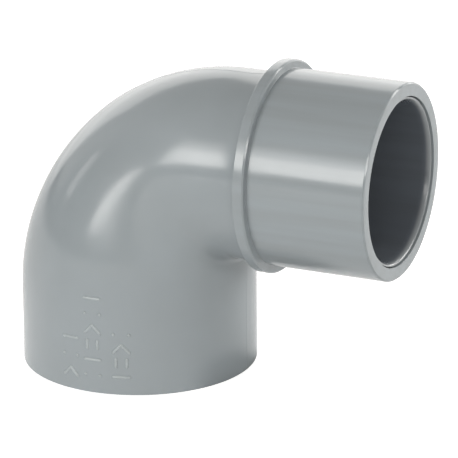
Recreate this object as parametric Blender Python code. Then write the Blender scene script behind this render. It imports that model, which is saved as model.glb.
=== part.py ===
"""A 90 degree PVC street elbow: a solvent socket on one end, a collared spigot on the other.

Units are metres and +Z is up. The fitting stands on its socket mouth. The socket axis is vertical,
the spigot points along +X, and the plane y = 0 is the plane of symmetry.
"""

import math

import bmesh
import bpy
from mathutils import Vector

# Driving dimensions. Places along X are measured from the socket axis until the pieces are placed.
SPIGOT_RADIUS = 0.0250
SPIGOT_LENGTH = 0.0312
SPIGOT_AXIS_HEIGHT = 0.05625
SOCKET_OUTER_RADIUS = 0.03025
SOCKET_DEPTH = 0.0310
SOCKET_BORE_AT_MOUTH = 0.02515
SOCKET_BORE_AT_STOP = 0.02505

COLLAR_RADIUS = 0.02705
COLLAR_BACK = 0.03845
COLLAR_WIDTH = 0.0029
EDGE_BREAK = 0.0003

WATERWAY_RADIUS = 0.0202
LEG_WATERWAY_RADIUS = 0.0204
LINER_WALL = 0.00105
LINER_SEAT = 0.0310
LINER_RECESS = 0.0005
LEAD_IN_LENGTH = 0.0026
LEAD_IN_HEIGHT = 0.0009

NECK_TOP = 0.0797
NECK_BOTTOM = 0.03165
NECK_FLARE_LENGTH = 0.0080
NECK_FLARE_HEIGHT = 0.0007
BEND_START_HEIGHT = 0.0194
BEND_END_X = 0.0275
BEND_FULLNESS = 1.98
FAN_PIVOT = (0.0318, 0.02935)
NARROWING_START = 0.092
NARROWING_END = 0.748
THROAT_FILLET = 0.0015
WATERWAY_FILLET = 0.0030
STOP_TO_BEND = 0.0010

MOUTH_CHAMFER_OUTSIDE = 0.0004
MOUTH_CHAMFER_INSIDE = 0.0010
SEAT_GAP = 0.0003

SEGMENTS_ROUND = 48
BEND_STATIONS = 16
FLARE_STEPS = 4
LEAD_IN_STEPS = 4

# Worked out from the driving dimensions.
COLLAR_FRONT = COLLAR_BACK + COLLAR_WIDTH
SPIGOT_END = COLLAR_FRONT + SPIGOT_LENGTH
NECK_END = COLLAR_BACK - SEAT_GAP
NECK_RADIUS = (NECK_TOP - NECK_BOTTOM) / 2
NECK_CENTRE_HEIGHT = (NECK_TOP + NECK_BOTTOM) / 2
LINER_RADIUS = WATERWAY_RADIUS + LINER_WALL
LINER_SEAT_RADIUS = LINER_RADIUS + SEAT_GAP
WATERWAY_START_HEIGHT = SOCKET_DEPTH + STOP_TO_BEND
SOCKET_AXIS_X = -(SPIGOT_END - SOCKET_OUTER_RADIUS) / 2

GREY_PVC = (0.283, 0.314, 0.329, 1.0)
LINER_GREY_PVC = (0.118, 0.132, 0.150, 1.0)


def clear_scene():
    """Removes every object, so that the script gives the same result each time."""
    for old in list(bpy.data.objects):
        bpy.data.objects.remove(old, do_unlink=True)


def pvc(name, colour, roughness):
    """A rigid PVC material."""
    material = bpy.data.materials.new(name)
    material.use_nodes = True
    shader = material.node_tree.nodes["Principled BSDF"]
    shader.inputs["Base Color"].default_value = colour
    shader.inputs["Roughness"].default_value = roughness
    shader.inputs["Metallic"].default_value = 0.0
    return material


def section(outer, inner, half_width):
    """One closed section of the fitting: an ellipse across the plane of symmetry.

    outer and inner are its (x, z) points on the outside and the inside of the bend.
    """
    outer_point = Vector((outer[0], 0.0, outer[1]))
    inner_point = Vector((inner[0], 0.0, inner[1]))
    centre = (outer_point + inner_point) / 2
    reach = (outer_point - inner_point) / 2
    ring = []
    for step in range(SEGMENTS_ROUND):
        angle = math.tau * step / SEGMENTS_ROUND
        ring.append(centre + reach * math.cos(angle) + Vector((0.0, half_width * math.sin(angle), 0.0)))
    return ring


def leg_section(height, radius):
    """A level circle about the socket axis."""
    return section((-radius, height), (radius, height), radius)


def spigot_section(x, radius, centre_height=SPIGOT_AXIS_HEIGHT):
    """An upright circle about the spigot axis, or about a parallel axis at another height."""
    return section((x, centre_height + radius), (x, centre_height - radius), radius)


def ease(t):
    """Goes from 0 to 1 as t does, level at both ends, and stays there outside them."""
    t = min(max(t, 0.0), 1.0)
    return t * t * (3 - 2 * t)


def inside_point(outer, pivot, corner, fillet):
    """Where the line from an outer point to the pivot meets the inside of the bend.

    The inside is the leg's straight side, a fillet at the corner, and the neck's straight side.
    """
    start = Vector(outer)
    direction = (Vector(pivot) - start).normalized()
    fillet_centre = Vector((corner[0] + fillet, corner[1] - fillet))
    if direction.x > 0.001:
        on_leg = start + direction * ((corner[0] - start.x) / direction.x)
        if on_leg.y <= fillet_centre.y:
            return tuple(on_leg)
    on_neck = start + direction * ((corner[1] - start.y) / direction.y)
    if on_neck.x >= fillet_centre.x:
        return tuple(on_neck)
    nearest = (fillet_centre - start).dot(direction)
    miss = (fillet_centre - start - direction * nearest).length
    chord = math.sqrt(max(fillet * fillet - miss * miss, 0.0))
    return tuple(start + direction * (nearest - chord))


def bend_sections(start, end, pivot, corner, fillet, widths, narrowing=(0.0, 1.0), fullness=2.0):
    """Sections that fan about a pivot while their outer points follow a quarter superellipse.

    start, end, pivot and corner are (x, z) points: the two ends of the outside of the bend, the point
    that all the sections' planes pass through, and the sharp inside corner. The half width goes from
    widths[0] to widths[1] between the two shares of the bend that narrowing gives. A fullness of 2 is
    a true ellipse, and less is a little flatter in the middle.
    """
    rings = []
    for station in range(BEND_STATIONS + 1):
        t = station / BEND_STATIONS
        angle = t * math.pi / 2
        outer = (
            end[0] - (end[0] - start[0]) * math.cos(angle) ** (2 / fullness),
            start[1] + (end[1] - start[1]) * math.sin(angle) ** (2 / fullness),
        )
        inner = inside_point(outer, pivot, corner, fillet)
        narrowed = ease((t - narrowing[0]) / (narrowing[1] - narrowing[0]))
        rings.append(section(outer, inner, widths[0] + (widths[1] - widths[0]) * narrowed))
    return rings


def loft(name, rings, material):
    """Joins neighbouring rings, and the last ring to the first, into one closed body."""
    shape = bmesh.new()
    rows = [[shape.verts.new(point) for point in ring] for ring in rings]
    for row_number, row in enumerate(rows):
        next_row = rows[(row_number + 1) % len(rows)]
        for step in range(SEGMENTS_ROUND):
            after = (step + 1) % SEGMENTS_ROUND
            shape.faces.new((row[step], row[after], next_row[after], next_row[step]))
    bmesh.ops.recalc_face_normals(shape, faces=shape.faces)
    mesh = bpy.data.meshes.new(name)
    shape.to_mesh(mesh)
    shape.free()
    mesh.shade_smooth()
    mesh.set_sharp_from_angle(angle=math.radians(35))
    mesh.materials.append(material)
    piece = bpy.data.objects.new(name, mesh)
    bpy.context.scene.collection.objects.link(piece)
    return piece


def elbow_body(material):
    """The socket leg, the bend and the short neck, which flares towards the collar."""
    outside = [
        leg_section(0.0, SOCKET_OUTER_RADIUS - MOUTH_CHAMFER_OUTSIDE),
        leg_section(MOUTH_CHAMFER_OUTSIDE, SOCKET_OUTER_RADIUS),
    ]
    outside += bend_sections(
        start=(-SOCKET_OUTER_RADIUS, BEND_START_HEIGHT),
        end=(BEND_END_X, NECK_TOP),
        pivot=FAN_PIVOT,
        corner=(SOCKET_OUTER_RADIUS, NECK_BOTTOM),
        fillet=THROAT_FILLET,
        widths=(SOCKET_OUTER_RADIUS, NECK_RADIUS),
        narrowing=(NARROWING_START, NARROWING_END),
        fullness=BEND_FULLNESS,
    )
    for step in range(FLARE_STEPS + 1):
        share = step / FLARE_STEPS
        x = NECK_END - NECK_FLARE_LENGTH * (1 - share)
        radius = NECK_RADIUS + NECK_FLARE_HEIGHT * share**2
        outside.append(spigot_section(x, radius, NECK_CENTRE_HEIGHT))
    waterway = bend_sections(
        start=(-LEG_WATERWAY_RADIUS, WATERWAY_START_HEIGHT),
        end=(BEND_END_X, SPIGOT_AXIS_HEIGHT + WATERWAY_RADIUS),
        pivot=(BEND_END_X, WATERWAY_START_HEIGHT),
        corner=(LEG_WATERWAY_RADIUS, SPIGOT_AXIS_HEIGHT - WATERWAY_RADIUS),
        fillet=WATERWAY_FILLET,
        widths=(LEG_WATERWAY_RADIUS, WATERWAY_RADIUS),
    )
    waterway.reverse()
    liner_seat = [
        spigot_section(NECK_END, LINER_SEAT_RADIUS),
        spigot_section(LINER_SEAT - SEAT_GAP, LINER_SEAT_RADIUS),
        spigot_section(LINER_SEAT - SEAT_GAP, WATERWAY_RADIUS),
    ]
    socket = [
        leg_section(SOCKET_DEPTH, LEG_WATERWAY_RADIUS),
        leg_section(SOCKET_DEPTH, SOCKET_BORE_AT_STOP),
        leg_section(MOUTH_CHAMFER_INSIDE, SOCKET_BORE_AT_MOUTH),
        leg_section(0.0, SOCKET_BORE_AT_MOUTH + MOUTH_CHAMFER_INSIDE),
    ]
    return loft("elbow_body", outside + liner_seat + waterway + socket, material)


def turned(name, profile, material):
    """A ring-shaped piece about the spigot axis; profile lists its (x, radius) corners."""
    rings = [spigot_section(x, radius) for x, radius in profile]
    return loft(name, rings, material)


def collared_sleeve(material):
    """The collar, and the 50 mm spigot that goes into the next socket."""
    profile = [
        (COLLAR_BACK, LINER_SEAT_RADIUS),
        (COLLAR_BACK, COLLAR_RADIUS - EDGE_BREAK),
        (COLLAR_BACK + EDGE_BREAK, COLLAR_RADIUS),
        (COLLAR_FRONT - EDGE_BREAK, COLLAR_RADIUS),
        (COLLAR_FRONT, COLLAR_RADIUS - EDGE_BREAK),
        (COLLAR_FRONT, SPIGOT_RADIUS + EDGE_BREAK),
        (COLLAR_FRONT + EDGE_BREAK, SPIGOT_RADIUS),
        (SPIGOT_END - EDGE_BREAK, SPIGOT_RADIUS),
        (SPIGOT_END, SPIGOT_RADIUS - EDGE_BREAK),
        (SPIGOT_END, LINER_SEAT_RADIUS),
    ]
    return turned("collared_sleeve", profile, material)


def liner_tube(material):
    """The tube that lines the spigot and is seated in the neck; its bore opens out at the outer end."""
    end = SPIGOT_END - LINER_RECESS
    profile = [
        (LINER_SEAT, WATERWAY_RADIUS),
        (LINER_SEAT, LINER_RADIUS),
        (end, LINER_RADIUS),
    ]
    for step in range(LEAD_IN_STEPS + 1):
        angle = step / LEAD_IN_STEPS * math.pi / 2
        x = end - LEAD_IN_LENGTH * (1 - math.cos(angle))
        profile.append((x, WATERWAY_RADIUS + LEAD_IN_HEIGHT * (1 - math.sin(angle))))
    return turned("liner_tube", profile, material)


def main():
    clear_scene()
    pieces = [
        elbow_body(pvc("elbow_pvc", GREY_PVC, 0.22)),
        collared_sleeve(pvc("sleeve_pvc", GREY_PVC, 0.20)),
        liner_tube(pvc("liner_pvc", LINER_GREY_PVC, 0.26)),
    ]
    for piece in pieces:
        piece.location.x = SOCKET_AXIS_X


main()
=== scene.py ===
"""The looks of the PVC street elbow: finely moulded surfaces, satin grey PVC and soft studio light."""

import math

import bmesh
import bpy
from mathutils import Matrix, Vector
from mathutils.bvhtree import BVHTree


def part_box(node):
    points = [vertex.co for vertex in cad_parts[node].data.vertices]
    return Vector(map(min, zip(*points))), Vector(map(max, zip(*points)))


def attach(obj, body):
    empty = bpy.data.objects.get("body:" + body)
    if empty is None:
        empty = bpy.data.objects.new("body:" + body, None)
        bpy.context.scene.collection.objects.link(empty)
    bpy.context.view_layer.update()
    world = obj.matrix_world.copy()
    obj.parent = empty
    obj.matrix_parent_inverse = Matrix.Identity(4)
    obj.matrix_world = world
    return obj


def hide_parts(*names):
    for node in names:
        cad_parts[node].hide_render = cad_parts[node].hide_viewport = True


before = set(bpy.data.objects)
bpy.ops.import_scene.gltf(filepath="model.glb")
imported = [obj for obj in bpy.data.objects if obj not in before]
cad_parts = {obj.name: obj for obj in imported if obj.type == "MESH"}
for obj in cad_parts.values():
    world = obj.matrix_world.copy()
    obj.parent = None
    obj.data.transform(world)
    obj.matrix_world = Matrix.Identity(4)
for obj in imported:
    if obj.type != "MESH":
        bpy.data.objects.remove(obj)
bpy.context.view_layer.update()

# Places and sizes that the frame gives.
BODY_LOW, BODY_HIGH = (Vector(corner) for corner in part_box("elbow_body"))
SLEEVE_LOW, SLEEVE_HIGH = (Vector(corner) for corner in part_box("collared_sleeve"))
LINER_LOW, LINER_HIGH = (Vector(corner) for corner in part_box("liner_tube"))
SOCKET_RADIUS = (BODY_HIGH.y - BODY_LOW.y) / 2
SOCKET_X = BODY_LOW.x + SOCKET_RADIUS
SPIGOT_Z = (SLEEVE_LOW.z + SLEEVE_HIGH.z) / 2
COLLAR_RADIUS = (SLEEVE_HIGH.y - SLEEVE_LOW.y) / 2
COLLAR_BACK = SLEEVE_LOW.x
SPIGOT_END = SLEEVE_HIGH.x
LINER_RADIUS = (LINER_HIGH.y - LINER_LOW.y) / 2
LINER_SEAT = LINER_LOW.x
LINER_END = LINER_HIGH.x
NECK_END = BODY_HIGH.x

# Sizes inside the nodes' boxes, in metres.
SPIGOT_RADIUS = 0.0250
COLLAR_WIDTH = 0.0029
COLLAR_FRONT = COLLAR_BACK + COLLAR_WIDTH
NECK_FLARE_LENGTH = 0.0080
NECK_FLARE_HEIGHT = 0.0007
NECK_TOP = BODY_HIGH.z - NECK_FLARE_HEIGHT
NECK_BOTTOM = 0.03165
NECK_RADIUS = (NECK_TOP - NECK_BOTTOM) / 2
NECK_Z = (NECK_TOP + NECK_BOTTOM) / 2
BEND_START_Z = 0.0194
BEND_END_X = SOCKET_X + 0.0275
THROAT_FILLET = 0.0015
FAN_PIVOT = (SOCKET_X + 0.0318, 0.02935)
NARROWING = (0.092, 0.748)
BEND_FULLNESS = 1.98
WATERWAY_RADIUS = 0.0202
LEG_WATERWAY_RADIUS = 0.0204
WATERWAY_FILLET = 0.0030
WATERWAY_BEND_START_Z = 0.0320
SOCKET_DEPTH = 0.0310
SOCKET_BORE_AT_MOUTH = 0.02515
SOCKET_BORE_AT_STOP = 0.02505
SOCKET_ENTRY_DEPTH = 0.0012
SOCKET_ENTRY_HEIGHT = 0.0010
LEAD_IN_LENGTH = 0.0026
LEAD_IN_HEIGHT = 0.0009
LIP_START = LINER_END - LEAD_IN_LENGTH * 0.6
LINER_GAP = 0.0003
SEAT_RADIUS = LINER_RADIUS + LINER_GAP
SEAT_X = LINER_SEAT - LINER_GAP

# Fine detail of the moulding.
RIDGE_HEIGHT = 0.00006
RIDGE_HALF_WIDTH = 0.00016
MOUTH_ROUNDING = 0.00015
EDGE_BREAK = 0.0004
EDGE_ROUNDING = 0.00015
COLLAR_BACK_ROUNDING = 0.00025
COLLAR_FOOT_FILLET = 0.0001
LINER_LINE_ROUNDING = 0.00005
MARK_RELIEF = 0.0003
MARK_STROKE_RADIUS = 0.00045
MARK_FIRST_HEIGHT = 0.0034
MARK_CELL_HALF_WIDTH = 0.0020
MARK_CELL_LOW, MARK_CELL_HIGH = 0.0004, 0.0024
# Each column of the raised marking: its azimuth from -Y towards +X, its cells and their spacing.
MARK_COLUMNS = ((-10.2, 3, 0.0046), (1.9, 6, 0.0041), (16.4, 4, 0.0038))

# How finely the surfaces are divided. The offsets from the ridge are in radians.
SEGMENTS_ROUND = 176
RIDGE_OFFSETS = (0.003, 0.006, 0.010, 0.016)
MOUTH_STEPS = 5
LEG_STEPS = 12
BEND_STATIONS = 72
FLARE_STEPS = 10
LEAD_IN_STEPS = 14
STROKE_STATIONS = 7
STROKE_SIDES = 14
SHARP_ANGLE = math.radians(40)

# The materials' colours, as linear red, green and blue.
GREY = (0.283, 0.314, 0.329)
# The marking is painted paler than the PVC: a painted highlight on the tops of the raised strokes.
MARKING_PAINTED_HIGHLIGHT_GREY = (0.35, 0.385, 0.395)
# The liner's dark grey is painted shade, standing for the dark inside of the spigot's bore.
LINER_PAINTED_SHADE_GREY = (0.118, 0.132, 0.150)
# The plain grey that the liner's lip turns back to, where the painted shade of the bore ends.
LIP_GREY = (0.27, 0.29, 0.30)
PVC_IOR = 1.53

# The camera, matched to the outline of the fitting in the photograph, and the lights. The lens is in
# millimetres, and the rest in metres.
CAMERA_AZIMUTH = math.radians(24.557)
CAMERA_ELEVATION = math.radians(19.407)
CAMERA_ROLL = math.radians(-0.476)
CAMERA_DISTANCE = 1.0526
CAMERA_LENS = 326.13
CAMERA_AIM = Vector((SOCKET_X + 0.025405, 0.0, 0.037463))
LIGHTS_AIM = Vector((0.0, 0.0, 0.05))
LAMP_COLOUR = (1.0, 0.985, 0.96)
WHITE = (1, 1, 1, 1)
PAPER = (0.9, 0.9, 0.9, 1)


def section_angles():
    """Even steps round a section, with extra ones where the mould's parting line crosses it."""
    angles = {round(math.tau * step / SEGMENTS_ROUND, 6) for step in range(SEGMENTS_ROUND)}
    for crossing in (0.0, math.pi):
        for offset in RIDGE_OFFSETS:
            angles.add(round((crossing + offset) % math.tau, 6))
            angles.add(round((crossing - offset) % math.tau, 6))
    return sorted(angles)


ANGLES = section_angles()


def section(outer, inner, half_width, ridge=0.0):
    """One closed section: an ellipse across the plane of symmetry, with a low ridge on that plane.

    outer and inner are its (x, z) points on the outside and the inside of the bend.
    """
    outer_point = Vector((outer[0], 0.0, outer[1]))
    inner_point = Vector((inner[0], 0.0, inner[1]))
    centre = (outer_point + inner_point) / 2
    reach = (outer_point - inner_point) / 2
    outward = reach.normalized()
    ring = []
    for angle in ANGLES:
        y = half_width * math.sin(angle)
        lift = ridge * math.exp(-((y / RIDGE_HALF_WIDTH) ** 2))
        side = 1.0 if math.cos(angle) > 0 else -1.0
        along = reach * math.cos(angle) + outward * (lift - ridge) * side
        ring.append(centre + along + Vector((0.0, y, 0.0)))
    return ring


def leg_section(z, radius, ridge=0.0, narrower=0.0):
    """A level circle about the socket axis, or an ellipse a hair narrower across."""
    return section((SOCKET_X - radius, z), (SOCKET_X + radius, z), radius - narrower, ridge)


def spigot_section(x, radius, centre_z=None, ridge=0.0):
    """An upright circle about the spigot axis, or about a parallel axis at another height."""
    centre_z = SPIGOT_Z if centre_z is None else centre_z
    return section((x, centre_z + radius), (x, centre_z - radius), radius, ridge)


def ease(t):
    """Goes from 0 to 1 as t does, level at both ends, and stays there outside them."""
    t = min(max(t, 0.0), 1.0)
    return t * t * (3 - 2 * t)


def inside_point(outer, pivot, corner, fillet):
    """Where the line from an outer point to the pivot meets the inside of the bend.

    The inside is the leg's straight side up to the corner, a fillet, and the neck's straight side.
    """
    start = Vector(outer)
    way = (Vector(pivot) - start).normalized()
    fillet_start = corner[1] - fillet
    fillet_end = corner[0] + fillet
    slopes_towards_leg = way.x > 0.001
    if slopes_towards_leg:
        on_leg = start + way * ((corner[0] - start.x) / way.x)
        if on_leg.y <= fillet_start:
            return tuple(on_leg)
    on_neck = start + way * ((corner[1] - start.y) / way.y)
    if on_neck.x >= fillet_end:
        return tuple(on_neck)
    centre = Vector((fillet_end, fillet_start))
    to_centre = centre - start
    nearest = to_centre.dot(way)
    miss = (to_centre - way * nearest).length
    return tuple(start + way * (nearest - math.sqrt(max(fillet * fillet - miss * miss, 0))))


def bend_sections(
    start, end, pivot, corner, fillet, widths, narrowing=(0.0, 1.0), fullness=2.0, ridge=0.0
):
    """Sections that fan about a pivot while their outer points follow a quarter superellipse.

    The half width goes from widths[0] to widths[1] between the two shares of the bend in narrowing.
    A fullness of 2 is a true ellipse, and less is a little flatter in the middle.
    """
    rings = []
    for station in range(BEND_STATIONS + 1):
        t = station / BEND_STATIONS
        angle = t * math.pi / 2
        outer = (
            end[0] - (end[0] - start[0]) * math.cos(angle) ** (2 / fullness),
            start[1] + (end[1] - start[1]) * math.sin(angle) ** (2 / fullness),
        )
        inner = inside_point(outer, pivot, corner, fillet)
        narrowed = ease((t - narrowing[0]) / (narrowing[1] - narrowing[0]))
        rings.append(section(outer, inner, widths[0] + (widths[1] - widths[0]) * narrowed, ridge))
    return rings


def rounded(corners, steps=6):
    """A closed outline's points. Each corner is (place, radius of the turned surface, rounding)."""
    points = []
    count = len(corners)
    side_share = 0.49  # the most of a side that one rounding takes, so that two never meet
    for number, (a, b, rounding) in enumerate(corners):
        here = Vector((a, b))
        if rounding == 0:
            points.append((a, b))
            continue
        before = Vector(corners[number - 1][:2]) - here
        after = Vector(corners[(number + 1) % count][:2]) - here
        half_angle = before.angle(after) / 2
        longest = min(before.length, after.length) * side_share
        back_off = min(rounding / math.tan(half_angle), longest)
        radius = back_off * math.tan(half_angle)
        centre = here + (before.normalized() + after.normalized()).normalized() * (
            radius / math.sin(half_angle)
        )
        first = here + before.normalized() * back_off - centre
        last = here + after.normalized() * back_off - centre
        turn = first.angle_signed(last)
        for step in range(steps + 1):
            arm = first.copy()
            arm.rotate(Matrix.Rotation(-turn * step / steps, 2))
            points.append(tuple(centre + arm))
    return points


def loft(name, rings, material):
    """Joins neighbouring rings, and the last ring to the first, into one closed body."""
    shape = bmesh.new()
    rows = [[shape.verts.new(point) for point in ring] for ring in rings]
    for row_number, row in enumerate(rows):
        next_row = rows[(row_number + 1) % len(rows)]
        for step, vertex in enumerate(row):
            after = (step + 1) % len(row)
            shape.faces.new((vertex, row[after], next_row[after], next_row[step]))
    bmesh.ops.recalc_face_normals(shape, faces=shape.faces)
    mesh = bpy.data.meshes.new(name)
    shape.to_mesh(mesh)
    shape.free()
    mesh.shade_smooth()
    mesh.set_sharp_from_angle(angle=SHARP_ANGLE)
    mesh.materials.append(material)
    piece = bpy.data.objects.new(name, mesh)
    bpy.context.scene.collection.objects.link(piece)
    return piece


def map_range(tree, value, from_range, to_range, smooth=True):
    """Takes a value from one range to another, easing at its ends if smooth, and level past them."""
    span = tree.nodes.new("ShaderNodeMapRange")
    if smooth:
        span.interpolation_type = "SMOOTHSTEP"
    for name, number in zip(("From Min", "From Max", "To Min", "To Max"), (*from_range, *to_range)):
        span.inputs[name].default_value = number
    tree.links.new(value, span.inputs["Value"])
    return span.outputs["Result"]


def noise(tree, scale, detail, stretch=(1, 1, 1)):
    """Noise in the object's own metres, where a stretch below 1 draws it out along that axis."""
    place = tree.nodes.new("ShaderNodeTexCoord")
    mapping = tree.nodes.new("ShaderNodeMapping")
    mapping.inputs["Scale"].default_value = stretch
    texture = tree.nodes.new("ShaderNodeTexNoise")
    texture.inputs["Scale"].default_value = scale
    texture.inputs["Detail"].default_value = detail
    tree.links.new(place.outputs["Object"], mapping.inputs["Vector"])
    tree.links.new(mapping.outputs["Vector"], texture.inputs["Vector"])
    return texture.outputs["Fac"]


def bump(tree, height, distance, below=None):
    """A relief of the given depth in metres, on top of another one where that is given."""
    relief = tree.nodes.new("ShaderNodeBump")
    relief.inputs["Strength"].default_value = 1.0
    relief.inputs["Distance"].default_value = distance
    tree.links.new(height, relief.inputs["Height"])
    if below is not None:
        tree.links.new(below, relief.inputs["Normal"])
    return relief.outputs["Normal"]


def paler_end(tree, colour, start_x, end_x, end_colour):
    """A colour that turns into another one between two places along X, where a painted shade ends."""
    place = tree.nodes.new("ShaderNodeTexCoord")
    parts = tree.nodes.new("ShaderNodeSeparateXYZ")
    tree.links.new(place.outputs["Object"], parts.inputs["Vector"])
    paler = tree.nodes.new("ShaderNodeMix")
    paler.data_type = "RGBA"
    paler.inputs["B"].default_value = (*end_colour, 1)
    unshaded_share = map_range(tree, parts.outputs["X"], (start_x, end_x), (0.0, 1.0))
    tree.links.new(unshaded_share, paler.inputs["Factor"])
    tree.links.new(colour, paler.inputs["A"])
    return paler.outputs["Result"]


def pvc_material(name, colour, roughness, drag_lines=False, unshaded_end=None):
    """Rigid grey PVC as moulded: faint mottling, slow waves, a fine grain and an uneven gloss.

    drag_lines draws the mottling and the grain out along X, as on a tube.
    unshaded_end is (start x, end x, colour), the stretch over which an end of a piece turns paler,
    out of the painted shade that the piece's darker colour stands for.
    """
    material = bpy.data.materials.new(name)
    material.use_nodes = True
    tree = material.node_tree
    shader = tree.nodes["Principled BSDF"]
    shader.inputs["IOR"].default_value = PVC_IOR
    noise_span = (0.3, 0.7)

    stretch, mottle_scale, contrast = (1, 1, 1), 55, 0.02
    if drag_lines:
        stretch, mottle_scale, contrast = (0.05, 1, 1), 330, 0.035
    mottle = tree.nodes.new("ShaderNodeMix")
    mottle.data_type = "RGBA"
    darker = (1 - contrast, 1 - contrast * 1.2, 1 - contrast * 1.5)
    lighter = (1 + contrast, 1 + contrast * 1.1, 1 + contrast * 1.3)
    mottle.inputs["A"].default_value = (*(part * share for part, share in zip(colour, darker)), 1)
    mottle.inputs["B"].default_value = (*(part * share for part, share in zip(colour, lighter)), 1)
    patches = noise(tree, scale=mottle_scale, detail=3, stretch=stretch)
    shade = map_range(tree, patches, noise_span, (0.0, 1.0), smooth=False)
    tree.links.new(shade, mottle.inputs["Factor"])
    surface_colour = mottle.outputs["Result"]
    if unshaded_end:
        surface_colour = paler_end(tree, surface_colour, *unshaded_end)
    tree.links.new(surface_colour, shader.inputs["Base Color"])

    gloss_noise = noise(tree, scale=140, detail=4)
    roughness_range = (roughness - 0.03, roughness + 0.04)
    gloss = map_range(tree, gloss_noise, noise_span, roughness_range, smooth=False)
    tree.links.new(gloss, shader.inputs["Roughness"])
    waves = bump(tree, noise(tree, scale=90, detail=1), distance=0.00004)
    grain_noise = noise(tree, scale=2600, detail=2, stretch=stretch)
    grain = bump(tree, grain_noise, distance=0.0000015, below=waves)
    tree.links.new(grain, shader.inputs["Normal"])
    return material


def elbow_body(material):
    """The socket leg, the bend and the short neck, with the socket and the waterway inside."""
    outside = []
    for step in range(MOUTH_STEPS + 1):
        turn = math.pi / 2 * step / MOUTH_STEPS
        z = MOUTH_ROUNDING * (1 - math.cos(turn))
        radius = SOCKET_RADIUS - MOUTH_ROUNDING * (1 - math.sin(turn))
        outside.append(leg_section(z, radius, RIDGE_HEIGHT, MARK_RELIEF))
    for step in range(1, LEG_STEPS + 1):
        z = MOUTH_ROUNDING + (BEND_START_Z - 2 * MOUTH_ROUNDING) * step / LEG_STEPS
        outside.append(leg_section(z, SOCKET_RADIUS, RIDGE_HEIGHT, MARK_RELIEF))
    outside += bend_sections(
        start=(SOCKET_X - SOCKET_RADIUS, BEND_START_Z),
        end=(BEND_END_X, NECK_TOP),
        pivot=FAN_PIVOT,
        corner=(SOCKET_X + SOCKET_RADIUS, NECK_BOTTOM),
        fillet=THROAT_FILLET,
        widths=(SOCKET_RADIUS - MARK_RELIEF, NECK_RADIUS),
        narrowing=NARROWING,
        fullness=BEND_FULLNESS,
        ridge=RIDGE_HEIGHT,
    )
    for step in range(FLARE_STEPS + 1):
        share = step / FLARE_STEPS
        x = NECK_END - NECK_FLARE_LENGTH * (1 - share)
        radius = NECK_RADIUS + NECK_FLARE_HEIGHT * share**2
        outside.append(spigot_section(x, radius, NECK_Z, RIDGE_HEIGHT))
    waterway = bend_sections(
        start=(SOCKET_X - LEG_WATERWAY_RADIUS, WATERWAY_BEND_START_Z),
        end=(BEND_END_X, SPIGOT_Z + WATERWAY_RADIUS),
        pivot=(BEND_END_X, WATERWAY_BEND_START_Z),
        corner=(SOCKET_X + LEG_WATERWAY_RADIUS, SPIGOT_Z - WATERWAY_RADIUS),
        fillet=WATERWAY_FILLET,
        widths=(LEG_WATERWAY_RADIUS, WATERWAY_RADIUS),
    )
    waterway.reverse()
    seat = [
        spigot_section(NECK_END, SEAT_RADIUS),
        spigot_section(SEAT_X, SEAT_RADIUS),
        spigot_section(SEAT_X, WATERWAY_RADIUS),
    ]
    # The socket's entry is a rounded edge: half way out, it has opened by 0.3 of its height.
    socket = [
        leg_section(SOCKET_DEPTH, LEG_WATERWAY_RADIUS),
        leg_section(SOCKET_DEPTH, SOCKET_BORE_AT_STOP),
        leg_section(SOCKET_ENTRY_DEPTH, SOCKET_BORE_AT_MOUTH),
        leg_section(SOCKET_ENTRY_DEPTH / 2, SOCKET_BORE_AT_MOUTH + SOCKET_ENTRY_HEIGHT * 0.3),
        leg_section(0.0, SOCKET_BORE_AT_MOUTH + SOCKET_ENTRY_HEIGHT),
    ]
    piece = loft("elbow_shell", outside + seat + waterway + socket, material)
    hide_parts("elbow_body")
    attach(piece, "root")
    return piece


def stroke(shape, surface, start, end):
    """A raised stroke with round ends; start and end are (azimuth, height) on the moulded surface."""
    spots = []
    well_outside = 0.05
    for step in range(STROKE_STATIONS):
        share = step / (STROKE_STATIONS - 1)
        azimuth = start[0] + (end[0] - start[0]) * share
        z = start[1] + (end[1] - start[1]) * share
        outward = Vector((math.sin(azimuth), -math.cos(azimuth), 0))
        origin = Vector((SOCKET_X, 0, z)) + outward * well_outside
        place, normal, _, _ = surface.ray_cast(origin, -outward)
        spots.append((place - normal * (MARK_STROKE_RADIUS - MARK_RELIEF), normal))
    along = (spots[-1][0] - spots[0][0]).normalized()
    if start == end:
        along = Vector((0, 0, 1))
        spots = spots[:1]
    round_ends = [math.radians(angle) for angle in (80, 55, 30)]
    rings = [
        (spots[0][0] - along * MARK_STROKE_RADIUS * math.sin(turn), spots[0][1], math.cos(turn))
        for turn in round_ends
    ]
    rings += [(centre, normal, 1.0) for centre, normal in spots]
    rings += [
        (spots[-1][0] + along * MARK_STROKE_RADIUS * math.sin(turn), spots[-1][1], math.cos(turn))
        for turn in reversed(round_ends)
    ]
    rows = []
    for centre, normal, share in rings:
        across = normal.cross(along).normalized()
        radius = MARK_STROKE_RADIUS * share
        rows.append([
            shape.verts.new(centre + (normal * math.cos(turn) + across * math.sin(turn)) * radius)
            for turn in (math.tau * step / STROKE_SIDES for step in range(STROKE_SIDES))
        ])
    for row, next_row in zip(rows, rows[1:]):
        for step in range(STROKE_SIDES):
            after = (step + 1) % STROKE_SIDES
            shape.faces.new((row[step], row[after], next_row[after], next_row[step]))
    shape.faces.new(rows[0])
    shape.faces.new(rows[-1])


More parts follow.
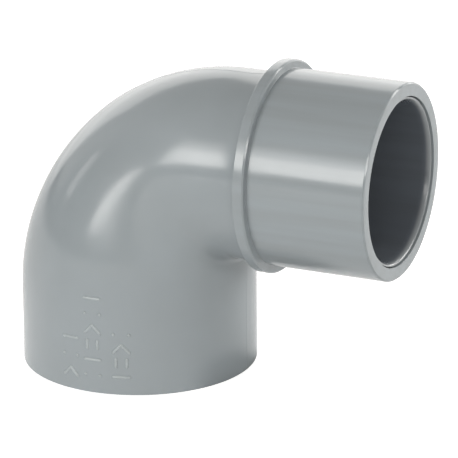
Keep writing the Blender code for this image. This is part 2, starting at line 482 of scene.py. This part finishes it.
def raised_marking(shell, material):
    """Columns of raised chevrons, dots and bars on the front of the socket, which spell nothing."""
    mesh = shell.data
    surface = BVHTree.FromPolygons([v.co for v in mesh.vertices], [p.vertices for p in mesh.polygons])
    side = MARK_CELL_HALF_WIDTH / SOCKET_RADIUS
    low, high = MARK_CELL_LOW, MARK_CELL_HIGH
    half_way = (low + high) / 2
    chevron = (((-side, low), (0, high)), ((0, high), (side, low)))
    dots = (((-side, half_way), (-side, half_way)), ((side, half_way), (side, half_way)))
    bar = (((-side, half_way), (side, half_way)),)
    inset = side * 0.7
    two_bars = (((-inset, low), (-inset, high)), ((inset, low), (inset, high)))
    cells = (chevron, dots, bar, two_bars)
    shape = bmesh.new()
    for number, (azimuth, count, spacing) in enumerate(MARK_COLUMNS):
        middle = math.radians(azimuth)
        for step in range(count):
            z = MARK_FIRST_HEIGHT + step * spacing
            for start, end in cells[(step + number) % len(cells)]:
                stroke(shape, surface, (middle + start[0], z + start[1]), (middle + end[0], z + end[1]))
    bmesh.ops.recalc_face_normals(shape, faces=shape.faces)
    marks = bpy.data.meshes.new("raised_marking")
    shape.to_mesh(marks)
    shape.free()
    marks.shade_smooth()
    marks.materials.append(material)
    piece = bpy.data.objects.new("raised_marking", marks)
    bpy.context.scene.collection.objects.link(piece)
    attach(piece, "root")


def turned(name, corners, material, node):
    """A ring-shaped piece about the spigot axis; corners are (x, radius, rounding)."""
    rings = [spigot_section(x, radius) for x, radius in rounded(corners)]
    piece = loft(name, rings, material)
    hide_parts(node)
    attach(piece, "root")


def collared_sleeve(material):
    """The collar and the 50 mm spigot, with broken front edges and a fillet at the collar's foot."""
    corners = [
        (COLLAR_BACK, SEAT_RADIUS, 0),
        (COLLAR_BACK, COLLAR_RADIUS, COLLAR_BACK_ROUNDING),
        (COLLAR_FRONT - EDGE_BREAK, COLLAR_RADIUS, EDGE_ROUNDING),
        (COLLAR_FRONT, COLLAR_RADIUS - EDGE_BREAK, EDGE_ROUNDING),
        (COLLAR_FRONT, SPIGOT_RADIUS, COLLAR_FOOT_FILLET),
        (SPIGOT_END - EDGE_BREAK, SPIGOT_RADIUS, EDGE_ROUNDING),
        (SPIGOT_END, SPIGOT_RADIUS - EDGE_BREAK, EDGE_ROUNDING),
        (SPIGOT_END, SEAT_RADIUS, LINER_LINE_ROUNDING),
    ]
    turned("collar_and_spigot", corners, material, "collared_sleeve")


def liner_tube(material):
    """The tube inside the spigot, with its outer end rounded towards the bore."""
    corners = [
        (LINER_SEAT, WATERWAY_RADIUS, 0),
        (LINER_SEAT, LINER_RADIUS, 0),
        (LINER_END, LINER_RADIUS, LINER_LINE_ROUNDING),
    ]
    for step in range(LEAD_IN_STEPS + 1):
        turn = step / LEAD_IN_STEPS * math.pi / 2
        x = LINER_END - LEAD_IN_LENGTH * (1 - math.cos(turn))
        corners.append((x, WATERWAY_RADIUS + LEAD_IN_HEIGHT * (1 - math.sin(turn)), 0))
    turned("spigot_liner", corners, material, "liner_tube")


def camera():
    """A long lens, a little above and to the right of the fitting."""
    back = Vector((
        math.sin(CAMERA_AZIMUTH) * math.cos(CAMERA_ELEVATION),
        -math.cos(CAMERA_AZIMUTH) * math.cos(CAMERA_ELEVATION),
        math.sin(CAMERA_ELEVATION),
    ))
    level_right = (-back).cross(Vector((0, 0, 1))).normalized()
    level_up = level_right.cross(-back)
    right = level_right * math.cos(CAMERA_ROLL) + level_up * math.sin(CAMERA_ROLL)
    up = level_up * math.cos(CAMERA_ROLL) - level_right * math.sin(CAMERA_ROLL)
    data = bpy.data.cameras.new("camera")
    data.lens = CAMERA_LENS
    data.sensor_width = 36
    data.clip_start = 0.05
    data.clip_end = 20
    eye = bpy.data.objects.new("camera", data)
    turn = Matrix((right, up, back)).transposed().to_4x4()
    eye.matrix_world = Matrix.Translation(CAMERA_AIM + back * CAMERA_DISTANCE) @ turn
    bpy.context.scene.collection.objects.link(eye)
    bpy.context.scene.camera = eye


def towards(azimuth, elevation, distance):
    """A place seen from the fitting; azimuth 0 is the camera's side and turns to its right."""
    turn = math.radians(azimuth) + CAMERA_AZIMUTH
    rise = math.radians(elevation)
    flat = distance * math.cos(rise)
    offset = Vector((flat * math.sin(turn), -flat * math.cos(turn), distance * math.sin(rise)))
    return LIGHTS_AIM + offset


def softbox(name, place, width, height, power):
    """A rectangular area light that faces the fitting, and which the camera doesn't see."""
    data = bpy.data.lights.new(name, "AREA")
    data.shape = "RECTANGLE"
    data.size = width
    data.size_y = height
    data.energy = power
    data.color = LAMP_COLOUR
    lamp = bpy.data.objects.new(name, data)
    lamp.location = place
    lamp.rotation_mode = "QUATERNION"
    lamp.rotation_quaternion = (LIGHTS_AIM - place).to_track_quat("-Z", "Y")
    lamp.visible_camera = False
    bpy.context.scene.collection.objects.link(lamp)


def distance_along(tree, place, direction):
    """How far a place lies in a direction."""
    product = tree.nodes.new("ShaderNodeVectorMath")
    product.operation = "DOT_PRODUCT"
    product.inputs[1].default_value = direction
    tree.links.new(place, product.inputs[0])
    return product.outputs["Value"]


def round_patch(tree, place, centre, radii, levels):
    """A level that eases from one value to another between two radii about a place on the floor."""
    reach = tree.nodes.new("ShaderNodeVectorMath")
    reach.operation = "DISTANCE"
    reach.inputs[1].default_value = centre
    tree.links.new(place, reach.inputs[0])
    return map_range(tree, reach.outputs["Value"], radii, levels)


def apart_for_camera(tree, kind, others, seen):
    """Gives the camera's own rays one value, and reflected and bounced rays the others' value."""
    path = tree.nodes.new("ShaderNodeLightPath")
    mix = tree.nodes.new("ShaderNodeMix")
    mix.data_type = kind
    mix.inputs["B"].default_value = seen
    tree.links.new(others, mix.inputs["A"])
    tree.links.new(path.outputs["Is Camera Ray"], mix.inputs["Factor"])
    return mix.outputs["Result"]


def surround():
    """A white tent, dimmer overhead, at both sides and at the height of the floor's far edge."""
    world = bpy.data.worlds.new("surround")
    bpy.context.scene.world = world
    world.use_nodes = True
    tree = world.node_tree
    place = tree.nodes.new("ShaderNodeTexCoord").outputs["Generated"]
    parts = tree.nodes.new("ShaderNodeSeparateXYZ")
    tree.links.new(place, parts.inputs["Vector"])

    # Brightness against height, which is 0 at the horizon and 1 overhead.
    stops = [(0.0, 0.1), (0.09, 0.1), (0.14, 0.74), (0.45, 0.74), (0.75, 0.42), (1.0, 0.38)]
    levels = tree.nodes.new("ShaderNodeValToRGB")
    ramp = levels.color_ramp
    while len(ramp.elements) < len(stops):
        ramp.elements.new(1.0)
    for element, (height, level) in zip(ramp.elements, stops):
        element.position = height
        warmth = 0.03 * height
        element.color = (level * (1 + warmth), level, level * (1 - warmth), 1)
    tree.links.new(parts.outputs["Z"], levels.inputs["Fac"])

    # Dark flags, which fade in towards the camera's right and at its far left.
    sideways = distance_along(tree, place, (math.cos(CAMERA_AZIMUTH), math.sin(CAMERA_AZIMUTH), 0))
    flags = tree.nodes.new("ShaderNodeMath")
    flags.operation = "MULTIPLY"
    tree.links.new(map_range(tree, sideways, (0.35, 0.7), (1.0, 0.3)), flags.inputs[0])
    tree.links.new(map_range(tree, sideways, (-0.8, -0.94), (1.0, 0.1)), flags.inputs[1])

    tent = tree.nodes.new("ShaderNodeMix")
    tent.data_type = "RGBA"
    tent.blend_type = "MULTIPLY"
    tent.inputs["Factor"].default_value = 1.0
    tree.links.new(levels.outputs["Color"], tent.inputs["A"])
    tree.links.new(flags.outputs["Value"], tent.inputs["B"])
    glow = tree.nodes["Background"]
    glow.inputs["Strength"].default_value = 1.0
    tree.links.new(apart_for_camera(tree, "RGBA", tent.outputs["Result"], WHITE), glow.inputs["Color"])


def floor_paper():
    """Pale paper, evenly lit for the camera.

    In reflections and for bounced light it has a painted shadow under the collar, a weak painted glow
    before the fitting's foot, and a painted glow that is brighter behind the fitting than in front of
    it.
    """
    paper = bpy.data.materials.new("floor_paper")
    paper.use_nodes = True
    tree = paper.node_tree
    shader = tree.nodes["Principled BSDF"]
    shader.inputs["Roughness"].default_value = 0.9
    shader.inputs["Emission Color"].default_value = WHITE
    place = tree.nodes.new("ShaderNodeTexCoord").outputs["Object"]
    # Painted shadow: for reflections and bounced light, the floor's colour is dark under the collar.
    under_collar = (SOCKET_X + SOCKET_RADIUS + 0.002, -0.004, 0)
    painted_collar_shadow = round_patch(tree, place, under_collar, (0.008, 0.021), (0.02, 0.77))
    # Painted glow: the floor gives off light before the foot and behind the fitting, though it is no
    # lamp.
    before_foot = (SOCKET_X - 0.020, -0.045, 0)
    foot_glow = round_patch(tree, place, before_foot, (0.02, 0.09), (0.23, 0.0))
    behind = distance_along(tree, place, (-math.sin(CAMERA_AZIMUTH), math.cos(CAMERA_AZIMUTH), 0))
    rear_glow = map_range(tree, behind, (-0.035, 0.025), (0.05, 0.34))
    glow = tree.nodes.new("ShaderNodeMath")
    glow.operation = "MULTIPLY_ADD"
    for socket, level in enumerate((rear_glow, painted_collar_shadow, foot_glow)):
        tree.links.new(level, glow.inputs[socket])
    tree.links.new(apart_for_camera(tree, "RGBA", painted_collar_shadow, PAPER), shader.inputs["Base Color"])
    glow_seen = apart_for_camera(tree, "FLOAT", glow.outputs["Value"], 0.5)
    tree.links.new(glow_seen, shader.inputs["Emission Strength"])
    return paper


def studio():
    """A pale floor, a white tent and soft boxes."""
    surround()
    floor_mesh = bpy.data.meshes.new("floor")
    half = 6.0
    floor_mesh.from_pydata(
        [(-half, -half, 0), (half, -half, 0), (half, half, 0), (-half, half, 0)], [], [(0, 1, 2, 3)]
    )
    floor_mesh.materials.append(floor_paper())
    floor = bpy.data.objects.new("floor", floor_mesh)
    bpy.context.scene.collection.objects.link(floor)

    # After its place, each has its width and height in metres, and its power in watts.
    softbox("key_box", towards(-43.4, 17.8, 1.0), 0.575, 0.275, 3.4)
    for elevation, power in ((28.4, 0.55), (33.7, 0.27)):
        softbox("key_fade", towards(-43.4, elevation, 1.0), 0.575, 0.093, power)
    softbox("left_strip", towards(-103, 18, 1.2), 0.16, 0.24, 0.25)
    softbox("front_box", towards(5, 24, 1.1), 0.6, 0.28, 1.4)
    softbox("side_box", towards(112, 22, 1.2), 0.6, 0.5, 6.3)
    softbox("edge_strip", towards(48, 15, 1.1), 0.2, 0.25, 1.5)
    softbox("rear_strip", towards(130, 6, 1.2), 0.75, 0.25, 1.6)
    softbox("backdrop", towards(180, 16, 1.6), 2.8, 1.3, 16.5)
    bpy.context.scene.view_settings.view_transform = "Standard"


SHELL = elbow_body(pvc_material("elbow_pvc_moulded", GREY, roughness=0.16))
# The marking's paler grey is a painted highlight on the tops of its strokes.
raised_marking(SHELL, pvc_material("marking_pvc_moulded", MARKING_PAINTED_HIGHLIGHT_GREY, roughness=0.28))
collared_sleeve(pvc_material("sleeve_pvc_moulded", GREY, roughness=0.15, drag_lines=True))
# The liner is painted dark as shade in the bore, and turns back to plain grey over its lit lip.
LIP_UNSHADED = (LIP_START, LINER_END, LIP_GREY)
liner_tube(pvc_material("liner_pvc_moulded", LINER_PAINTED_SHADE_GREY, roughness=0.14, drag_lines=True, unshaded_end=LIP_UNSHADED))
camera()
studio()
